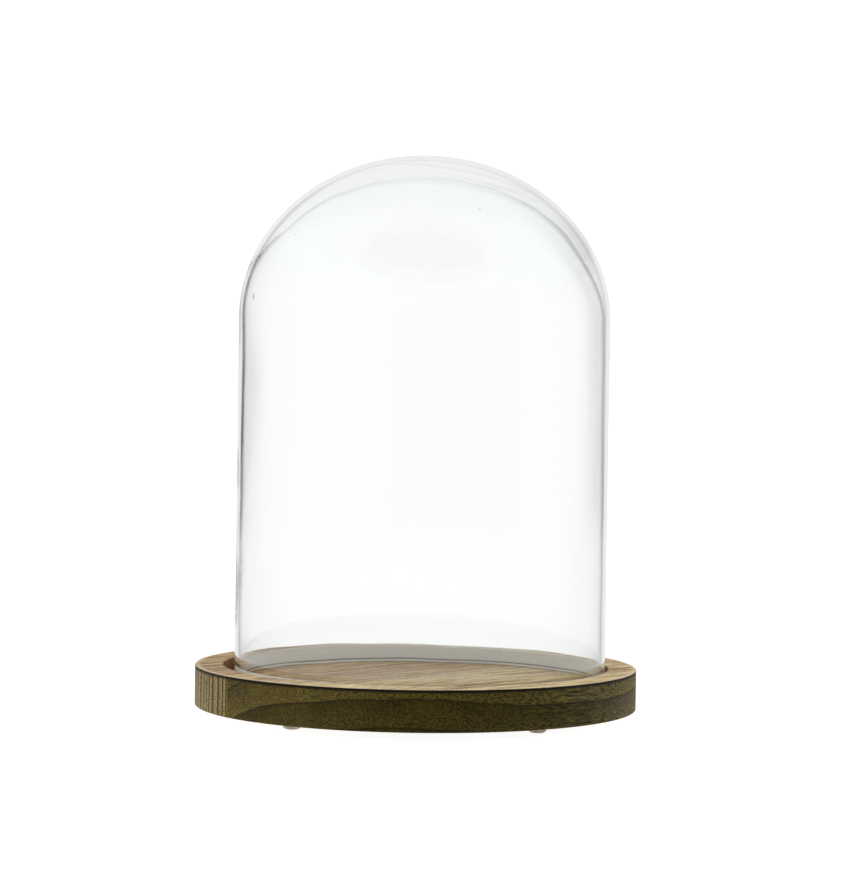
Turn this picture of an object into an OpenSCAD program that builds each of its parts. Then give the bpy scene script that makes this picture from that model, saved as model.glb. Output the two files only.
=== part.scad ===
// Glass bell jar on a round wooden base.
// The base is a disc glued up from two boards, with a flat recess turned in its top and four clear bumper
// feet under it. The dome is a single blown shell that stands loose in the recess and lifts straight off.
// The origin is the middle of the surface that the feet stand on, and +Z is up.

/* [Base] */
// Diameter of the wooden disc
base_d = 220; // [180:1:260]
// Thickness of the wooden disc
base_t = 20; // [14:0.5:30]
// Width of the sanded arris on the outer edges
base_arris = 0.6; // [0.3:0.1:2]
// Diameter of the recess that the dome stands in
recess_d = 192; // [160:1:210]
// Depth of the recess
recess_depth = 7.5; // [3:0.5:9]
// Width of the arris at the mouth of the recess
recess_arris = 0.4; // [0.2:0.1:1]

/* [Boards] */
// Direction of the grain, turned from the X axis
grain_angle = 45; // [0:1:90]
// Distance of the glued joint behind the centre of the disc
joint_offset = 18; // [-40:1:40]

/* [Feet] */
// Diameter of a bumper foot where it is stuck on
foot_d = 9.5; // [8:0.5:14]
// Height of a bumper foot
foot_h = 3.8; // [2:0.1:6]
// Distance between the feet from side to side
foot_spread_x = 116; // [90:1:130]
// Distance between the feet from front to back
foot_spread_y = 144; // [90:1:150]

/* [Dome] */
// Outer diameter of the dome
dome_d = 185; // [150:1:200]
// Height of the dome, from its rim to its crown
dome_h = 261.5; // [200:1:320]
// Height of the domed part above the straight wall
crown_rise = 81.5; // [60:0.5:95]
// Thickness of the wall at the rim
rim_t = 2.4; // [2:0.1:5]
// Thickness of the wall at the shoulder, where the crown begins
shoulder_t = 3.4; // [2:0.1:5]
// Thickness of the glass at the top of the crown
crown_t = 8.8; // [3:0.1:10]
// How far the loose dome stands to the right of the middle of its recess
dome_shift = 2; // [-3:0.5:3]

/* [Hidden] */

$fn = 96;

base_r = base_d / 2;
recess_r = recess_d / 2;
base_top = foot_h + base_t;
recess_floor = base_top - recess_depth;

dome_r = dome_d / 2;
bore_r = dome_r - shoulder_t;
spring_h = dome_h - crown_rise;
bore_rise = crown_rise - crown_t;
rim_r = rim_t / 2;
crown_steps = 32;
rim_steps = 8;

foot_r = foot_d / 2;
// The foot's flat sole is this share of its stuck face
sole_share = 0.55;
// The upper part of a foot is straight for this share of its height
skirt_share = 0.3;
foot_steps = 10;

// Points along an elliptical arc, from one angle to another, as [radius, height]
function arc(centre, half_w, half_h, from, to, steps) = [
    for (i = [0 : steps])
        let (a = from + (to - from) * i / steps)
            centre + [half_w * cos(a), half_h * sin(a)]
];

// Half of the disc's section: the outer edge, then the recess, with an arris on each exposed corner
base_section = [
    [0, foot_h],
    [base_r - base_arris, foot_h],
    [base_r, foot_h + base_arris],
    [base_r, base_top - base_arris],
    [base_r - base_arris, base_top],
    [recess_r + recess_arris, base_top],
    [recess_r, base_top - recess_arris],
    [recess_r, recess_floor],
    [0, recess_floor],
];

// Half of the dome's section: round rim, outer wall and crown, then the inner crown back down to the rim
dome_section = concat(
    arc([dome_r - rim_r, rim_r], rim_r, rim_r, -180, 0, rim_steps),
    arc([0, spring_h], dome_r, crown_rise, 0, 90, crown_steps),
    arc([0, spring_h], bore_r, bore_rise, 90, 0, crown_steps)
);

// Half of a foot's section: a straight skirt under the wood, rounded down to a flat sole
foot_section = concat(
    [[0, foot_h], [0, 0]],
    arc([foot_r * sole_share, foot_h * (1 - skirt_share)], foot_r * (1 - sole_share),
        foot_h * (1 - skirt_share), -90, 0, foot_steps),
    [[foot_r, foot_h]]
);

// The whole turned disc, before it is divided at the glued joint
module disc() {
    rotate_extrude() polygon(base_section);
}

// The block of space on one side of the glued joint: side 1 is behind it and side -1 is in front
module joint_side(side) {
    rotate([0, 0, grain_angle])
        translate([-base_d, side > 0 ? joint_offset : joint_offset - 2 * base_d, 0])
            cube([2 * base_d, 2 * base_d, 2 * base_top]);
}

// One board of the disc, cut off at the glued joint
module board(side) {
    intersection() {
        disc();
        joint_side(side);
    }
}

// One bumper foot, on the given side to the right (1) or left (-1) and to the back (1) or front (-1)
module foot(side_x, side_y) {
    translate([side_x * foot_spread_x / 2, side_y * foot_spread_y / 2, 0])
        rotate_extrude() polygon(foot_section);
}

module base_board_front() { color("#5b4a2c") board(-1); }
module base_board_back() { color("#8a7446") board(1); }

module foot_front_left() { color("#dfe6e2") foot(-1, -1); }
module foot_front_right() { color("#dfe6e2") foot(1, -1); }
module foot_back_left() { color("#dfe6e2") foot(-1, 1); }
module foot_back_right() { color("#dfe6e2") foot(1, 1); }

module glass_dome() {
    color("#e8f2f1")
        translate([dome_shift, 0, recess_floor])
            rotate_extrude() polygon(dome_section);
}

glass_dome();
base_board_front();
base_board_back();
foot_front_left();
foot_front_right();
foot_back_left();
foot_back_right();
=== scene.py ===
"""Looks of a glass bell jar that stands loose in the recess of a stained wooden disc on clear feet."""

import math

import bmesh
import bpy
from mathutils import Matrix, Vector, noise


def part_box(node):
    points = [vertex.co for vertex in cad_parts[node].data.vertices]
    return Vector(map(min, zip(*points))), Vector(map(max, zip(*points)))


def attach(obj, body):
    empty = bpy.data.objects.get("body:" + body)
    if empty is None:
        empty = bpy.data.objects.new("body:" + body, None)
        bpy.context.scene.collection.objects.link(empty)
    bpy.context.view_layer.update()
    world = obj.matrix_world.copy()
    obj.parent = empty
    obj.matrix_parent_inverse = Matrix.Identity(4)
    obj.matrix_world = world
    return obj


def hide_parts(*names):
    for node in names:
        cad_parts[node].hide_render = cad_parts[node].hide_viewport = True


MM = 0.001
# a smaller radius than this is a point on the axis
ON_AXIS = 1e-7

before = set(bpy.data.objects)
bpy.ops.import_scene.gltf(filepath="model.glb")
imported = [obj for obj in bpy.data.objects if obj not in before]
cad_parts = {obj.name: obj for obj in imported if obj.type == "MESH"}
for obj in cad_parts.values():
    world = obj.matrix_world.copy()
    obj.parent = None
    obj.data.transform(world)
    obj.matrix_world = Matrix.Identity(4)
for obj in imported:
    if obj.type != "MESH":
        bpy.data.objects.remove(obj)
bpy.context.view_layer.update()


# ---------------------------------------------------------------- sizes, some from the CAD boxes

dome_lo, dome_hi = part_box("glass_dome")
front_lo, front_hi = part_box("base_board_front")
back_lo, back_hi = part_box("base_board_back")

DOME_X = (dome_lo.x + dome_hi.x) / 2
DOME_R = (dome_hi.x - dome_lo.x) / 2
DOME_FOOT = dome_lo.z
DOME_TOP = dome_hi.z
RIM_WALL = 2.4 * MM
SHOULDER_WALL = 3.4 * MM
CROWN = 8.8 * MM
CROWN_RISE = 81.5 * MM
SPRING = DOME_TOP - CROWN_RISE
# painted light in the lowest part of the glass: pale, less clear bands that stand in for light carried down
# the wall inside the glass, then a grey band of painted shade and a near-white band of painted highlight at
# the rim; height above the rim, clearness and colour
RIM_PAINTED_LIGHT = (
    (7.0 * MM, 0.60, (0.92, 0.94, 0.89, 1)),
    (5.0 * MM, 0.54, (0.92, 0.94, 0.89, 1)),
    (2.3 * MM, 0.60, (0.42, 0.43, 0.36, 1)),
    (1.3 * MM, 0.38, (0.97, 0.98, 0.95, 1)),
)
# the bands of painted light reach this much higher at the back
PAINTED_LIGHT_RISE = 2.6 * MM
# the low, finely stepped part of the wall that carries the bands of painted light and shade
PAINTED_LIGHT_ZONE = 14 * MM
# how far the hollow leans to the left in the crown
LEAN = 1.7 * MM
# height, spread and depth of the bands where one side of the wall is thinner
THIN_BANDS = ((88 * MM, 30 * MM, 1.5 * MM), (206 * MM, 24 * MM, 1.2 * MM))

BASE_R = max(front_hi.x, back_hi.y, -front_lo.x, -front_lo.y)
BASE_LOW = front_lo.z
BASE_TOP = front_hi.z
RECESS_FLOOR = DOME_FOOT
RECESS_R = 96 * MM
GRAIN_ANGLE = math.radians(45)
JOINT = 18 * MM

FEET = ("foot_front_left", "foot_front_right", "foot_back_left", "foot_back_right")


# ---------------------------------------------------------------- mesh tools


def arc(centre, half_w, half_h, start, end, steps):
    """Points along an elliptical arc as (radius, height)."""
    points = []
    for i in range(steps + 1):
        a = math.radians(start + (end - start) * i / steps)
        points.append((centre[0] + half_w * math.cos(a), centre[1] + half_h * math.sin(a)))
    return points


def line(start, end, steps):
    """Points from start up to, and without, end as (radius, height)."""
    return [
        (start[0] + (end[0] - start[0]) * i / steps, start[1] + (end[1] - start[1]) * i / steps)
        for i in range(steps)
    ]


def lathe(profile, turns, centre=(0.0, 0.0)):
    """A closed mesh turned from a profile of (radius, height). Points on the axis become poles."""
    bm = bmesh.new()
    rings = []
    for r, z in profile:
        if r < ON_AXIS:
            rings.append([bm.verts.new((centre[0], centre[1], z))])
            continue
        ring = []
        for i in range(turns):
            a = 2 * math.pi * i / turns
            ring.append(bm.verts.new((centre[0] + r * math.cos(a), centre[1] + r * math.sin(a), z)))
        rings.append(ring)
    pairs = list(zip(rings, rings[1:]))
    if profile[0][0] > ON_AXIS:
        pairs.append((rings[-1], rings[0]))
    for low, high in pairs:
        for i in range(turns):
            j = (i + 1) % turns
            corners = [low[i % len(low)], low[j % len(low)], high[j % len(high)], high[i % len(high)]]
            bm.faces.new(list(dict.fromkeys(corners)))
    bmesh.ops.recalc_face_normals(bm, faces=bm.faces)
    return bm


def piece(name, bm, body, nodes, materials, smooth_angle=None):
    """Turns a mesh into a finished piece of the object."""
    mesh = bpy.data.meshes.new(name)
    for face in bm.faces:
        face.smooth = True
    if smooth_angle is not None:
        for edge in bm.edges:
            if len(edge.link_faces) == 2 and edge.calc_face_angle() > smooth_angle:
                edge.smooth = False
    bm.to_mesh(mesh)
    bm.free()
    obj = bpy.data.objects.new(name, mesh)
    bpy.context.scene.collection.objects.link(obj)
    for material in materials:
        mesh.materials.append(material)
    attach(obj, body)
    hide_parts(*nodes)
    return obj


# ---------------------------------------------------------------- node tools


class Graph:
    """Short ways to make and link shader nodes."""

    def __init__(self, tree):
        self.tree = tree
        tree.nodes.clear()

    def add(self, kind, inputs=None, **settings):
        node = self.tree.nodes.new(kind)
        for key, value in settings.items():
            setattr(node, key, value)
        for key, value in (inputs or {}).items():
            self.put(node.inputs[key], value)
        return node

    def put(self, socket, value):
        if isinstance(value, bpy.types.NodeSocket):
            self.tree.links.new(value, socket)
        else:
            socket.default_value = value

    def math(self, operation, a, b=0.0, c=0.0, clamp=False):
        node = self.add("ShaderNodeMath", operation=operation, use_clamp=clamp)
        for socket, value in zip(node.inputs, (a, b, c)):
            self.put(socket, value)
        return node.outputs[0]

    def smooth(self, value, low, high, at_low=0.0, at_high=1.0):
        node = self.add("ShaderNodeMapRange", interpolation_type="SMOOTHSTEP")
        sockets = ("Value", "From Min", "From Max", "To Min", "To Max")
        for key, item in zip(sockets, (value, low, high, at_low, at_high)):
            self.put(node.inputs[key], item)
        return node.outputs[0]

    def length(self, a, b):
        return self.math("SQRT", self.math("ADD", self.math("POWER", a, 2.0), self.math("POWER", b, 2.0)))

    def mix(self, factor, a, b, blend="MIX"):
        node = self.add("ShaderNodeMix", data_type="RGBA", blend_type=blend)
        self.put(node.inputs[0], factor)
        self.put(node.inputs[6], a)
        self.put(node.inputs[7], b)
        return node.outputs[2]

    def noise(self, vector, scale, detail=2.0, rough=0.5, warp=0.0):
        node = self.add("ShaderNodeTexNoise", noise_dimensions="3D")
        sockets = ("Vector", "Scale", "Detail", "Roughness", "Distortion")
        for key, value in zip(sockets, (vector, scale, detail, rough, warp)):
            self.put(node.inputs[key], value)
        return node.outputs[0]

    def scaled(self, vector, factors):
        node = self.add("ShaderNodeVectorMath", operation="MULTIPLY")
        self.put(node.inputs[0], vector)
        node.inputs[1].default_value = factors
        return node.outputs[0]

    def ramp(self, value, stops, interpolation="LINEAR"):
        node = self.add("ShaderNodeValToRGB")
        self.put(node.inputs[0], value)
        node.color_ramp.interpolation = interpolation
        elements = node.color_ramp.elements
        while len(elements) > 1:
            elements.remove(elements[-1])
        for n, (position, colour) in enumerate(stops):
            e = elements[0] if n == 0 else elements.new(position)
            e.position = position
            e.color = colour if len(colour) == 4 else (*colour, 1.0)
        return node.outputs[0]


def grey(value):
    return (value, value, value, 1.0)


def new_material(name):
    material = bpy.data.materials.new(name)
    material.use_nodes = True
    return material, Graph(material.node_tree)


# ---------------------------------------------------------------- glass


# specks and hairline scratches in the glass: place, and half-length along X, Y and Z, in mm
MARKS = (
    ((-81.0, -39.6, 205.0), (0.9, 1.2, 2.2)),
    ((-60.7, -52.0, 234.0), (0.5, 0.8, 1.6)),
    ((48.8, -49.2, 251.6), (1.3, 1.0, 0.9)),
    ((27.3, -67.9, 247.0), (0.6, 0.8, 0.6)),
    ((90.5, -25.0, 41.0), (0.9, 1.4, 1.0)),
    ((-30.0, 88.0, 150.0), (0.5, 0.9, 0.9)),
    ((88.0, 30.0, 120.0), (0.8, 0.5, 1.6)),
    ((-55.0, 60.0, 222.0), (0.9, 0.6, 0.6)),
)


def glass_material(name, clearness=1.0, tint=(0.985, 0.994, 0.994, 1)):
    """Clear blown glass with faint wipe marks and a few specks. Below 1, clearness makes it milky."""
    material, g = new_material(name)
    coord = g.add("ShaderNodeTexCoord").outputs["Object"]
    mm = g.scaled(coord, (1000, 1000, 1000))
    wipe = g.noise(g.scaled(mm, (0.02, 0.02, 0.006)), 1.0, 3.0, 0.55, 0.6)
    haze = g.smooth(wipe, 0.5, 0.72)
    crossed = g.noise(mm, 0.9, 2.0)
    dots = None
    for place, size in MARKS:
        away = g.add("ShaderNodeVectorMath", {0: mm, 1: place}, operation="SUBTRACT").outputs[0]
        away = g.scaled(away, tuple(1 / k for k in size))
        length = g.add("ShaderNodeVectorMath", {0: away}, operation="LENGTH").outputs["Value"]
        length = g.math("ADD", length, g.math("MULTIPLY", g.math("SUBTRACT", crossed, 0.5), 1.2))
        mark = g.smooth(length, 1.1, 0.5)
        dots = mark if dots is None else g.math("MAXIMUM", dots, mark)
    roughness = g.math("ADD", g.math("MULTIPLY", haze, 0.004), g.math("MULTIPLY", dots, 0.35))
    colour = g.mix(dots, tint, (0.45, 0.47, 0.47, 1))
    bump = g.add("ShaderNodeBump", {"Strength": 0.04, "Distance": 0.0004, "Height": wipe})
    shader = g.add(
        "ShaderNodeBsdfPrincipled",
        {
            "Base Color": colour,
            "Roughness": roughness,
            "IOR": 1.5,
            "Transmission Weight": clearness,
            "Normal": bump.outputs[0],
        },
    )
    out = g.add("ShaderNodeOutputMaterial")
    g.put(out.inputs["Surface"], shader.outputs[0])
    return material


def dome_profile():
    """Outer skin from the rim to the crown, then the inner skin from the crown back to the rim."""
    shoulder = DOME_R - SHOULDER_WALL
    rim = RIM_WALL / 2
    crown_steps = 72
    wall_steps = 56
    zone_steps = 28
    outer_low = (DOME_R, DOME_FOOT + rim)
    inner_low = (DOME_R - RIM_WALL, DOME_FOOT + rim)
    outer = arc((DOME_R - rim, DOME_FOOT + rim), rim, rim, -90, 0, 10)[:-1]
    outer += line(outer_low, (DOME_R, DOME_FOOT + PAINTED_LIGHT_ZONE), zone_steps)
    outer += line((DOME_R, DOME_FOOT + PAINTED_LIGHT_ZONE), (DOME_R, SPRING), wall_steps)
    outer += arc((0, SPRING), DOME_R, CROWN_RISE, 0, 90, crown_steps)
    inner = arc((0, SPRING), shoulder, CROWN_RISE - CROWN, 90, 0, crown_steps)
    share = (PAINTED_LIGHT_ZONE - rim) / (SPRING - DOME_FOOT - rim)
    inner_zone = (inner_low[0] + (shoulder - inner_low[0]) * share, DOME_FOOT + PAINTED_LIGHT_ZONE)
    inner += line((shoulder, SPRING), inner_zone, wall_steps)[1:]
    inner += line(inner_zone, inner_low, zone_steps)
    inner += arc((DOME_R - rim, DOME_FOOT + rim), rim, rim, 180, 270, 10)[:-1]
    return outer, inner


def skin_swell(a, z, is_inner):
    """How far a skin stands out of its true shape, as blowing leaves it. The left wall has thin bands."""
    p = Vector((math.cos(a) * 1.6, math.sin(a) * 1.6, z / (60 * MM) + (7.0 if is_inner else 3.0)))
    swell = (noise.noise(p) + 0.35 * noise.noise(p * 2.7)) * (0.12 if is_inner else 0.04) * MM
    if is_inner:
        side = max(0.0, -math.cos(a - 0.15)) ** 1.5
        for height, spread, depth in THIN_BANDS:
            swell += side * depth * math.exp(-(((z - height) / spread) ** 2))
    return swell


def dome_shell():
    """Outer and inner skins in one closed mesh."""
    outer, inner = dome_profile()
    outer[-1] = (0.0, outer[-1][1])
    inner[0] = (0.0, inner[0][1])
    turns = 288
    bm = bmesh.new()
    rings = []
    for k, (r, z) in enumerate(outer + inner):
        is_inner = k >= len(outer)
        if r < ON_AXIS:
            rings.append([bm.verts.new((DOME_X - (LEAN if is_inner else 0.0), 0.0, z))])
            continue
        fade = min(1.0, r / (25 * MM)) * min(1.0, max(0.0, (z - DOME_FOOT - 3 * MM) / (12 * MM)))
        rise = min(1.0, max(0.0, (z - SPRING) / (40 * MM)))
        middle = DOME_X - (LEAN * rise * rise * (3 - 2 * rise) if is_inner else 0.0)
        ring = []
        for i in range(turns):
            a = 2 * math.pi * i / turns
            rr = r + fade * skin_swell(a, z, is_inner)
            ring.append(bm.verts.new((middle + rr * math.cos(a), rr * math.sin(a), z)))
        rings.append(ring)
    count = len(rings)
    skip = len(outer) - 1
    for k in range(count):
        if k == skip:
            continue
        low, high = rings[k], rings[(k + 1) % count]
        for i in range(turns):
            j = (i + 1) % turns
            corners = [low[i % len(low)], low[j % len(low)], high[j % len(high)], high[i % len(high)]]
            face = bm.faces.new(list(dict.fromkeys(corners)))
            # faces low on the wall take the rim glasses with painted light and shade
            middle = face.calc_center_median()
            rise = PAINTED_LIGHT_RISE * max(0.0, middle.y / DOME_R) ** 0.5
            tops = [RIM_PAINTED_LIGHT[0][0] + rise, RIM_PAINTED_LIGHT[1][0] + rise] + [item[0] for item in RIM_PAINTED_LIGHT[2:]]
            face.material_index = sum(middle.z < DOME_FOOT + top for top in tops)
    bmesh.ops.recalc_face_normals(bm, faces=bm.faces)
    return bm


# ---------------------------------------------------------------- wood


def wood_material(name, rings, look):
    """Stained open-grained wood, solid through the board: end grain, long grain and rings fit together.
    rings(g, across, up, bend) gives the place in the growth rings and the darkness within one ring. look
    holds the colours."""
    material, g = new_material(name)
    tex = g.add("ShaderNodeTexCoord")
    turned = g.add(
        "ShaderNodeMapping",
        {"Vector": tex.outputs["Object"], "Scale": (1000, 1000, 1000), "Rotation": (0, 0, -GRAIN_ANGLE)},
    )
    block = turned.outputs[0]
    axes = g.add("ShaderNodeSeparateXYZ", {"Vector": block})
    _, across, up = axes.outputs
    sway = g.noise(g.scaled(block, (0.006, 0.02, 0.02)), 1.0, 2.0, 0.5)
    ripple = g.noise(g.scaled(block, (0.02, 0.16, 0.16)), 1.0, 2.0, 0.5)
    sway = g.math("MULTIPLY", g.math("SUBTRACT", sway, 0.5), 7.0)
    ripple = g.math("MULTIPLY", g.math("SUBTRACT", ripple, 0.5), 1.5)
    bend = g.math("ADD", sway, ripple)
    phase, late = rings(g, across, up, bend)
    ring = g.math("FRACT", phase)

    # pores run along the grain, so that they are dots on end grain and streaks on long grain
    pore_cells = g.add(
        "ShaderNodeTexVoronoi",
        {"Vector": g.scaled(block, (0.05, 1.5, 1.5)), "Scale": 1.0, "Randomness": 1.0},
        feature="F1",
    )
    crowd = g.smooth(ring, 0.85, 0.25, 0.20, 0.38)
    pores = g.smooth(pore_cells.outputs["Distance"], g.math("ADD", crowd, 0.12), crowd)
    fibre = g.noise(g.scaled(block, (0.03, 0.9, 0.9)), 1.0, 3.0, 0.65)
    speck = g.noise(g.scaled(block, (0.22, 3.0, 3.0)), 1.0, 2.0, 0.9)
    fine = g.noise(g.scaled(block, (0.25, 5.0, 5.0)), 1.0, 2.0, 0.6)
    cloud = g.noise(g.scaled(block, (0.010, 0.05, 0.05)), 1.0, 3.0, 0.5)
    streak = g.noise(g.scaled(block, (0.010, 0.20, 0.20)), 1.0, 5.0, 0.78)

    # edges take darker colours than the top: partly stain, partly painted shade of edges that face away from
    # the light
    normal = g.add("ShaderNodeSeparateXYZ", {"Vector": tex.outputs["Normal"]}).outputs[2]
    facing = g.math("ABSOLUTE", normal)
    flat = g.smooth(facing, 0.35, 0.9)
    here = g.add("ShaderNodeSeparateXYZ", {"Vector": g.scaled(tex.outputs["Object"], (1000, 1000, 1000))})
    radius = g.length(here.outputs[0], here.outputs[1])
    height = here.outputs[2]

    dark_line = g.ramp(ring, [(share, grey(dark)) for share, dark in late])

    tone = g.math("ADD", g.math("MULTIPLY", fibre, 0.25), g.math("MULTIPLY", speck, 0.60))
    tone = g.math("ADD", tone, g.math("MULTIPLY", cloud, 0.15))
    grain = g.math("ADD", g.math("MULTIPLY", streak, 0.60), g.math("MULTIPLY", speck, 0.40))
    shade = g.smooth(grain, 0.41, 0.59)
    top = g.mix(shade, look["top_dark"], look["top_light"])
    side = g.mix(g.smooth(tone, 0.40, 0.60), look["side_dark"], look["side_light"])
    side = g.mix(g.smooth(ring, 0.04, 0.9, look["ring_lift"], 0.0), side, look["side_ring"])
    turn = g.math("COSINE", g.math("MULTIPLY", g.math("FLOOR", phase), math.pi))
    stain = g.math("ADD", 1.0, g.math("MULTIPLY", turn, look["every_other"]))
    side = g.mix(1.0, side, stain, "MULTIPLY")
    ring_top = g.mix(g.math("MULTIPLY", dark_line, 0.85), top, (0.15, 0.075, 0.022, 1))
    ring_side = g.mix(g.math("MULTIPLY", dark_line, look["line"]), side, (0.012, 0.007, 0.001, 1))
    pore_top = g.mix(g.math("MULTIPLY", pores, 0.60), ring_top, (0.13, 0.068, 0.020, 1))
    pore_side = g.mix(g.math("MULTIPLY", pores, 0.72), ring_side, (0.008, 0.005, 0.001, 1))

    # painted shade in a dark line under the top arris and as a red-brown colour on the recess wall, which
    # stands in shadow; a painted highlight in a lighter band along the top's edge
    top_mm = BASE_TOP / MM
    painted_shade_under_arris = g.smooth(height, top_mm - 2.2, top_mm - 1.1)
    painted_shade_under_arris = g.math("MULTIPLY", painted_shade_under_arris, g.smooth(radius, 108, 109))
    pore_side = g.mix(g.math("MULTIPLY", painted_shade_under_arris, 0.93), pore_side, (0.004, 0.002, 0.001, 1))
    painted_shade_recess_wall = g.smooth(radius, 100, 98)
    pore_side = g.mix(painted_shade_recess_wall, pore_side, g.mix(shade, (0.10, 0.038, 0.015, 1), (0.24, 0.115, 0.048, 1)))
    painted_highlight_top_edge = g.math("MULTIPLY", g.smooth(radius, 106.8, 108.8), g.smooth(height, top_mm - 1.0, top_mm - 0.1))
    pore_top = g.mix(g.math("MULTIPLY", painted_highlight_top_edge, 0.55), pore_top, (0.52, 0.42, 0.30, 1))
    colour = g.mix(flat, pore_side, pore_top)

    rough = g.math("ADD", g.smooth(fine, 0.3, 0.7, 0.36, 0.5), g.math("MULTIPLY", pores, 0.25))
    relief = g.math("SUBTRACT", g.math("MULTIPLY", fibre, 0.35), g.math("MULTIPLY", pores, 1.0))
    relief = g.math("ADD", relief, g.math("MULTIPLY", fine, 0.25))
    bump = g.add("ShaderNodeBump", {"Strength": 0.55, "Distance": 0.00022, "Height": relief})
    shader = g.add(
        "ShaderNodeBsdfPrincipled",
        {
            "Base Color": colour,
            "Roughness": rough,
            "IOR": 1.45,
            "Specular IOR Level": 0.08,
            "Normal": bump.outputs[0],
        },
    )
    out = g.add("ShaderNodeOutputMaterial")
    g.put(out.inputs["Surface"], shader.outputs[0])
    return material


# colours of a board's top and edge, and how much the early wood lightens the edge, how dark the ring lines
# are, and how much every other ring differs. The edge colours are far darker than the top's, partly stain
# that soaks deeper into the edge and partly painted shade of an edge that faces away from the light
FLAT_LOOK = {
    "top_light": (0.655, 0.515, 0.255, 1),
    "top_dark": (0.165, 0.088, 0.022, 1),
    "side_light": (0.106, 0.078, 0.010, 1),
    "side_dark": (0.006, 0.004, 0.001, 1),
    "side_ring": (0.156, 0.121, 0.030, 1),
    "ring_lift": 0.34,
    "line": 0.94,
    "every_other": 0.13,
}
# the back board's edge colours are lighter than the front board's, in part painted light: this board makes
# the left end of the disc, where the light falls
QUARTER_LOOK = {
    "top_light": (0.62, 0.45, 0.21, 1),
    "top_dark": (0.17, 0.078, 0.020, 1),
    "side_light": (0.275, 0.207, 0.074, 1),
    "side_dark": (0.055, 0.036, 0.008, 1),
    "side_ring": (0.330, 0.260, 0.112, 1),
    "ring_lift": 0.5,
    "line": 0.86,
    "every_other": 0.0,
}


def flat_sawn_rings(g, across, up, bend):
    """Wide rings round a pith line far under the front board. Sizes are in mm."""
    pith_in_front = 70.0
    pith_below = 231.6
    tenth_ring = 250.0
    spacing = 13.5
    r = g.length(g.math("ADD", across, pith_in_front), g.math("ADD", up, pith_below))
    r = g.math("ADD", r, bend)
    phase = g.math("ADD", g.math("DIVIDE", g.math("SUBTRACT", r, tenth_ring), spacing), 10.0)
    return phase, ((0.0, 0.9), (0.03, 0.3), (0.06, 0.0), (0.5, 0.0), (0.85, 0.16), (0.95, 0.34), (1.0, 0.9))


def quarter_sawn_rings(g, across, up, bend):
    """Narrow upright rings in the back board, at uneven distances. Sizes are in mm."""
    first_ring = JOINT / MM + 1.0
    spacing = 4.4
    lean = g.math("MULTIPLY", up, 0.03)
    x = g.math("ADD", g.math("ADD", across, lean), g.math("MULTIPLY", bend, 0.25))
    uneven = g.math("MULTIPLY", g.math("SINE", g.math("MULTIPLY", x, 0.31)), 1.1)
    x = g.math("ADD", x, uneven)
    phase = g.math("ADD", g.math("DIVIDE", g.math("SUBTRACT", x, first_ring), spacing), 10.0)
    return phase, ((0.0, 1.0), (0.17, 1.0), (0.25, 0.10), (0.5, 0.0), (0.75, 0.14), (0.92, 0.5), (1.0, 1.0))


def disc_profile():
    """Half of the turned disc's section, with rounded arrises."""
    arris = 0.6 * MM
    mouth = 0.5 * MM
    corner = 4
    points = line((0.0, BASE_LOW), (BASE_R - arris, BASE_LOW), 6)
    points += arc((BASE_R - arris, BASE_LOW + arris), arris, arris, -90, 0, corner)
    points += arc((BASE_R - arris, BASE_TOP - arris), arris, arris, 0, 90, corner)
    points += arc((RECESS_R + mouth, BASE_TOP - mouth), mouth, mouth, 90, 180, corner)
    points += [(RECESS_R, RECESS_FLOOR + 0.3 * MM), (RECESS_R - 0.3 * MM, RECESS_FLOOR)]
    points += line((RECESS_R - 1.2 * MM, RECESS_FLOOR), (0.0, RECESS_FLOOR), 6)
    points += [(0.0, RECESS_FLOOR)]
    return points


def board_mesh(side):
    """The part of the disc on one side of the glued joint, with a hair-wide eased edge along it."""
    bm = lathe(disc_profile(), 360)
    across = Vector((-math.sin(GRAIN_ANGLE), math.cos(GRAIN_ANGLE), 0))
    glue_line = 0.02 * MM
    point = across * (JOINT + side * glue_line)
    geom = list(bm.verts) + list(bm.edges) + list(bm.faces)
    bmesh.ops.bisect_plane(bm, geom=geom, dist=1e-7, plane_co=point, plane_no=across * side, clear_inner=True)
    rim = [e for e in bm.edges if len(e.link_faces) == 1]
    bmesh.ops.holes_fill(bm, edges=rim, sides=0)
    joint_faces = [f for f in bm.faces if abs(f.normal.dot(across)) > 0.999 and len(f.verts) > 8]
    cut = [e for e in bm.edges if any(f in joint_faces for f in e.link_faces)]
    bmesh.ops.bevel(bm, geom=cut, offset=0.10 * MM, segments=1, affect="EDGES", clamp_overlap=True)
    bmesh.ops.recalc_face_normals(bm, faces=bm.faces)
    return bm


# ---------------------------------------------------------------- feet


def foot_material():
    """Clear soft polyurethane, slightly dusty."""
    material, g = new_material("clear_polyurethane")
    mm = g.scaled(g.add("ShaderNodeTexCoord").outputs["Object"], (1000, 1000, 1000))
    dust = g.noise(mm, 1.4, 4.0, 0.6)
    colour = g.mix(g.smooth(dust, 0.45, 0.75), (0.99, 0.99, 0.97, 1), (0.95, 0.95, 0.88, 1))
    shader = g.add(
        "ShaderNodeBsdfPrincipled",
        {
            "Base Color": colour,
            "Roughness": g.smooth(dust, 0.3, 0.8, 0.04, 0.15),
            "IOR": 1.49,
            "Transmission Weight": 0.92,
        },
    )
    out = g.add("ShaderNodeOutputMaterial")
    g.put(out.inputs["Surface"], shader.outputs[0])
    return material


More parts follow.
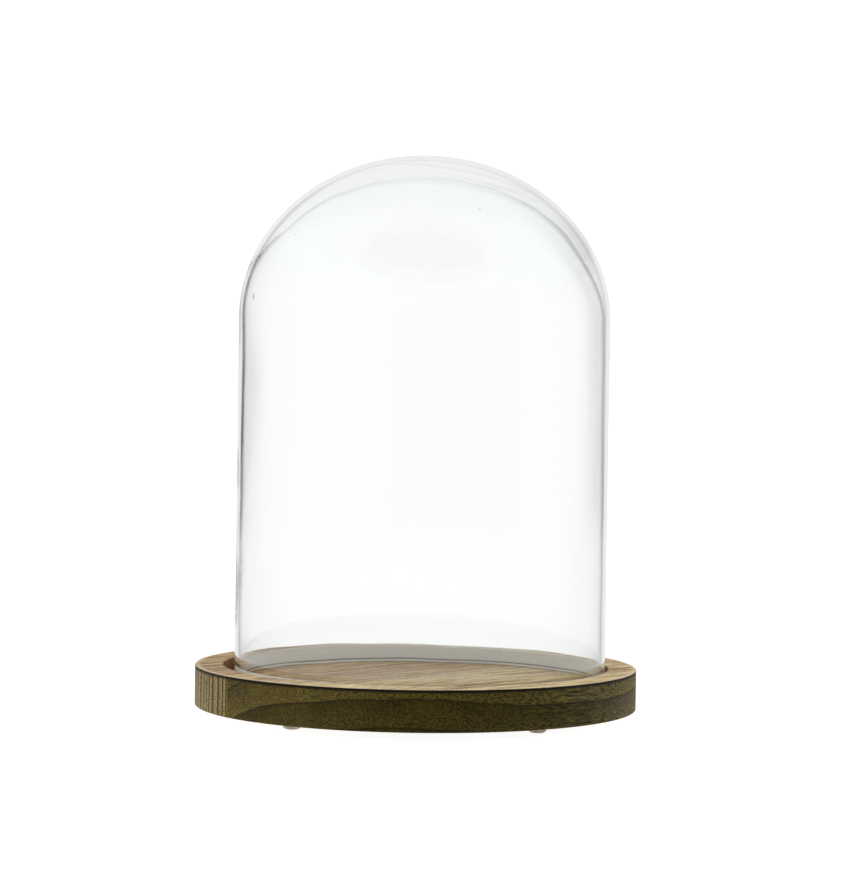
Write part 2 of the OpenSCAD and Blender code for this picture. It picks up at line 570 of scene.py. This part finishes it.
def foot_mesh(node):
    """A bumper foot: straight skirt under the wood, rounded down to a flat sole."""
    lo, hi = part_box(node)
    r = (hi.x - lo.x) / 2
    h = hi.z - lo.z
    skirt = h * 0.7
    sole = r * 0.55
    points = line((0.0, 0.0), (sole, 0.0), 4)
    points += arc((sole, skirt), r - sole, skirt, -90, 0, 16)
    points += [(r, h - 0.15 * MM), (r - 0.15 * MM, h)]
    points += line((r - 0.4 * MM, h), (0.0, h), 4)
    points += [(0.0, h)]
    return lathe(points, 72, ((lo.x + hi.x) / 2, (lo.y + hi.y) / 2))


# ---------------------------------------------------------------- stage

# degrees round from the back, with the right positive, and how bright the studio is there
WOOD_LIGHT = (
    (-180, 0.06), (-158, 0.28), (-134, 2.50), (-108, 5.80), (-80, 3.20), (-50, 0.90), (0, 0.86), (46, 0.90),
    (66, 7.40), (84, 6.00), (104, 1.10), (140, 0.08), (180, 0.06),
)
TABLE_LIGHT = (
    (-180, 0.16), (-140, 0.60), (-104, 1.20), (-60, 0.90), (0, 0.84), (60, 0.90), (100, 1.60), (135, 0.40),
    (180, 0.16),
)
# the same for what an edge of the wall shows after one reflection inside the glass, far off and near by
EDGE_FAR = (
    (-180, 0.66), (-120, 0.82), (-72, 0.76), (-50, 0.72), (-36, 0.66), (-32, 0.03), (-28, 0.03),
    (-24.5, 0.80), (0, 0.86), (24.5, 0.82), (28, 0.32), (32, 0.32), (37, 0.64), (60, 0.72), (104, 0.80),
    (128, 0.66), (180, 0.66),
)
EDGE_NEAR = (
    (-180, 0.95), (-120, 0.90), (-72, 0.76), (-50, 0.72), (-36, 0.70), (-32, 0.44), (-28, 0.44),
    (-24.5, 0.80), (0, 0.86), (24.5, 0.82), (28, 0.44), (32, 0.44), (37, 0.64), (60, 0.72), (104, 0.84),
    (128, 0.90), (180, 0.95),
)
# degrees above the horizon at which the gaps far off start to bend inwards
GAP_BEND = 4.0
# and for what solid glass shows in any other way
LENS_RING = (
    (-180, 0.84), (-112, 0.84), (-92, 0.68), (-62, 0.72), (-40, 0.84), (-25, 0.82), (-12, 0.84), (0, 0.87),
    (60, 0.89), (180, 0.84),
)
# and for what shows through both walls
THROUGH_RING = (
    (-180, 1.03), (-70, 1.02), (-42, 0.90), (-30, 0.90), (-20, 1.00), (0, 1.03), (20, 1.01), (32, 0.92),
    (42, 0.92), (70, 1.02), (180, 1.03),
)
# two soft grey cards on the horizon that shade the inside of the shoulders, and degrees of height over which
# they and the brighter low part of the backdrop end
CARD_RING = (
    (-180, 1.0), (-48, 1.0), (-36, 0.55), (-22, 0.50), (-14, 0.72), (-7, 1.0), (8, 1.0), (15, 0.86),
    (24, 0.74), (36, 0.80), (48, 1.0), (180, 1.0),
)
CARD_TOP = (22.0, 30.0)
SKY_EDGE = (13.0, 22.0)
# how bright the backdrop is above that edge, beside its low part
SKY_FALL = 0.955
# the cards start this far away on the table, in metres
CARD_FOOT = (1.4, 3.4)
# what solid glass shows of the table near by, and at the seam with the backdrop
LENS_NEAR = 0.91
LENS_SEAM = 0.72
# light from above for the wood, and what edges of the glass show of it
WOOD_SKY = (1.16, 1.16, 1.13, 1)
SKY = (0.84, 0.87, 0.88, 1)
# degrees of height between which the light round the studio gives way to the light from above
WOOD_SKY_EDGE = (18.0, 60.0)
SKY_START = (22.0, 36.0)
# what the camera sees of the backdrop and table, how much of that the light on the table gives, and its grey
SEEN_DIRECTLY = 1.15
TABLE_LIT = 0.22
TABLE_GREY = 0.30
# distances on the table, in metres: from its near part to its far part, and the seam with the backdrop
NEAR = (1.1, 2.2)
SEAM = (3.2, 3.8, 4.4)


def heights(span):
    """The height of a direction, as its Z, at each end of a span in degrees."""
    return tuple(math.sin(math.radians(degrees)) for degrees in span)


def around(g, x, y, stops):
    """A brightness that changes with the direction round the object, in degrees from the back."""
    turn = g.math("DIVIDE", g.math("ARCTAN2", x, y), 2 * math.pi)
    place = g.math("ADD", turn, 0.5)
    top = max(value for _, value in stops)
    ring = g.ramp(place, [(degrees / 360 + 0.5, grey(value / top)) for degrees, value in stops], "EASE")
    return g.scaled(ring, (top, top, top))


def path_kinds(g, extra):
    """Switches for the rays that see the stage: from the camera, through both walls of the dome, after one
    reflection inside one wall, and after any other reflection or refraction. extra is 1 for the world, which
    counts a ray one bounce deeper than a surface does."""
    path = g.add("ShaderNodeLightPath")
    crossed = path.outputs["Transmission Depth"]
    through = g.math("GREATER_THAN", crossed, 3.5)
    one_wall = g.math("MULTIPLY", g.math("GREATER_THAN", crossed, 1.5), g.math("LESS_THAN", crossed, 3.5))
    once = g.math("COMPARE", path.outputs["Ray Depth"], 3.0 + extra, 0.5)
    lens = g.math("MULTIPLY", one_wall, g.math("SUBTRACT", 1.0, once))
    glassy = g.math("MAXIMUM", path.outputs["Is Glossy Ray"], path.outputs["Is Transmission Ray"])
    return path.outputs["Is Camera Ray"], through, lens, glassy


def world_light():
    """A white backdrop, soft light from the sides and above, and darker gaps that draw the glass's edges."""
    world = bpy.data.worlds.new("studio")
    bpy.context.scene.world = world
    world.use_nodes = True
    g = Graph(world.node_tree)
    direction = g.add("ShaderNodeTexCoord").outputs["Generated"]
    x, y, z = g.add("ShaderNodeSeparateXYZ", {"Vector": direction}).outputs
    from_camera, through, lens, glassy = path_kinds(g, 1)
    high = g.smooth(z, *heights(WOOD_SKY_EDGE))
    on_wood = g.mix(high, around(g, x, y, WOOD_LIGHT), WOOD_SKY)
    overhead = g.smooth(z, *heights(SKY_START))
    # high up the gaps bend inwards, so that they follow the curve of the crown
    above = g.math("MAXIMUM", g.math("SUBTRACT", z, math.sin(math.radians(GAP_BEND))), 0.0)
    bent = g.math("MULTIPLY", g.math("SIGN", x), g.length(x, above))
    in_glass = g.mix(overhead, around(g, bent, y, EDGE_FAR), SKY)
    colour = g.mix(glassy, on_wood, in_glass)
    colour = g.mix(lens, colour, around(g, x, y, LENS_RING))
    card = g.mix(g.smooth(z, *heights(CARD_TOP)), around(g, x, y, CARD_RING), grey(1.0))
    card = g.mix(g.smooth(z, *heights(SKY_EDGE)), card, grey(SKY_FALL), "MULTIPLY")
    behind = g.mix(1.0, around(g, x, y, THROUGH_RING), card, "MULTIPLY")
    colour = g.mix(through, colour, behind)
    colour = g.mix(from_camera, colour, grey(SEEN_DIRECTLY))
    lit = g.add("ShaderNodeBackground", {"Color": colour, "Strength": 1.0})
    out = g.add("ShaderNodeOutputWorld")
    g.put(out.inputs["Surface"], lit.outputs[0])


def floor():
    """A wide white table top that the camera never sees the end of."""
    bm = bmesh.new()
    bmesh.ops.create_circle(bm, cap_ends=True, segments=96, radius=14.0)
    mesh = bpy.data.meshes.new("table_top")
    bm.to_mesh(mesh)
    bm.free()
    obj = bpy.data.objects.new("table_top", mesh)
    bpy.context.scene.collection.objects.link(obj)
    material, g = new_material("white_table")
    coord = g.add("ShaderNodeTexCoord").outputs["Object"]
    x, y, _ = g.add("ShaderNodeSeparateXYZ", {"Vector": coord}).outputs
    reach = g.length(x, y)
    from_camera, through, lens, glassy = path_kinds(g, 0)
    # the direction as the walls of the dome see it, half its width to either side
    aside = g.math("MAXIMUM", g.math("SUBTRACT", g.math("ABSOLUTE", x), DOME_R), 0.0)
    aside = g.math("MULTIPLY", g.math("SIGN", x), aside)
    edge = g.mix(g.smooth(reach, *NEAR), around(g, aside, y, EDGE_NEAR), around(g, aside, y, EDGE_FAR))
    glow = g.mix(glassy, around(g, x, y, TABLE_LIGHT), edge)
    seam = g.smooth(reach, SEAM[0], SEAM[1], LENS_NEAR, LENS_SEAM)
    solid = g.mix(g.smooth(reach, SEAM[1], SEAM[2]), seam, around(g, x, y, LENS_RING))
    glow = g.mix(lens, glow, solid)
    card = g.mix(g.smooth(reach, *CARD_FOOT), grey(1.0), around(g, aside, y, CARD_RING))
    glow = g.mix(through, glow, g.mix(1.0, around(g, aside, y, THROUGH_RING), card, "MULTIPLY"))
    shine = g.add("ShaderNodeEmission", {"Color": glow, "Strength": 1.0})
    seen = g.add("ShaderNodeEmission", {"Color": grey(SEEN_DIRECTLY - TABLE_LIT), "Strength": 1.0})
    matt = g.add("ShaderNodeBsdfDiffuse", {"Color": grey(TABLE_GREY)})
    both = g.add("ShaderNodeAddShader")
    g.put(both.inputs[0], seen.outputs[0])
    g.put(both.inputs[1], matt.outputs[0])
    which = g.add("ShaderNodeMixShader", {"Fac": from_camera})
    g.put(which.inputs[1], shine.outputs[0])
    g.put(which.inputs[2], both.outputs[0])
    out = g.add("ShaderNodeOutputMaterial")
    g.put(out.inputs["Surface"], which.outputs[0])
    mesh.materials.append(material)


def camera():
    """Level with the middle of the dome, 1.3 m in front of it, tipped and rolled very slightly."""
    data = bpy.data.cameras.new("camera")
    obj = bpy.data.objects.new("camera", data)
    bpy.context.scene.collection.objects.link(obj)
    data.lens = 106.36
    data.sensor_width = 36
    data.clip_start = 0.01
    data.clip_end = 100
    tip = Matrix.Rotation(math.radians(90 - 1.05), 4, "X")
    roll = Matrix.Rotation(math.radians(0.82), 4, "Z")
    obj.matrix_world = Matrix.Translation((0.0013, -1.300, 0.1598)) @ tip @ roll
    bpy.context.scene.camera = obj


def picture():
    scene = bpy.context.scene
    scene.view_settings.view_transform = "Standard"
    scene.view_settings.look = "None"
    scene.cycles.use_denoising = True
    scene.cycles.denoiser = "OPENIMAGEDENOISE"
    scene.cycles.max_bounces = 96
    scene.cycles.transmission_bounces = 96
    scene.cycles.glossy_bounces = 96
    scene.cycles.diffuse_bounces = 4
    scene.cycles.caustics_refractive = True
    scene.cycles.caustics_reflective = True
    scene.cycles.blur_glossy = 0.0
    scene.cycles.sample_clamp_indirect = 6.0


# ---------------------------------------------------------------- the pieces

smooth_limit = math.radians(32)
glasses = [glass_material("clear_blown_glass")]
# after the clear glass come the rim glasses with painted light and shade
for n, (_, clearness, tint) in enumerate(RIM_PAINTED_LIGHT):
    glasses.append(glass_material(f"rim_glass_painted_light_{n}", clearness, tint))
piece("dome_shell", dome_shell(), "dome", ["glass_dome"], glasses)
piece("board_front", board_mesh(-1), "base", ["base_board_front"],
      [wood_material("stained_wood_flat_sawn", flat_sawn_rings, FLAT_LOOK)], smooth_limit)
piece("board_back", board_mesh(1), "base", ["base_board_back"],
      [wood_material("stained_wood_quarter_sawn", quarter_sawn_rings, QUARTER_LOOK)], smooth_limit)
clear = foot_material()
for node in FEET:
    piece("bumper_" + node, foot_mesh(node), "base", [node], [clear], smooth_limit)

camera()
world_light()
floor()
picture()
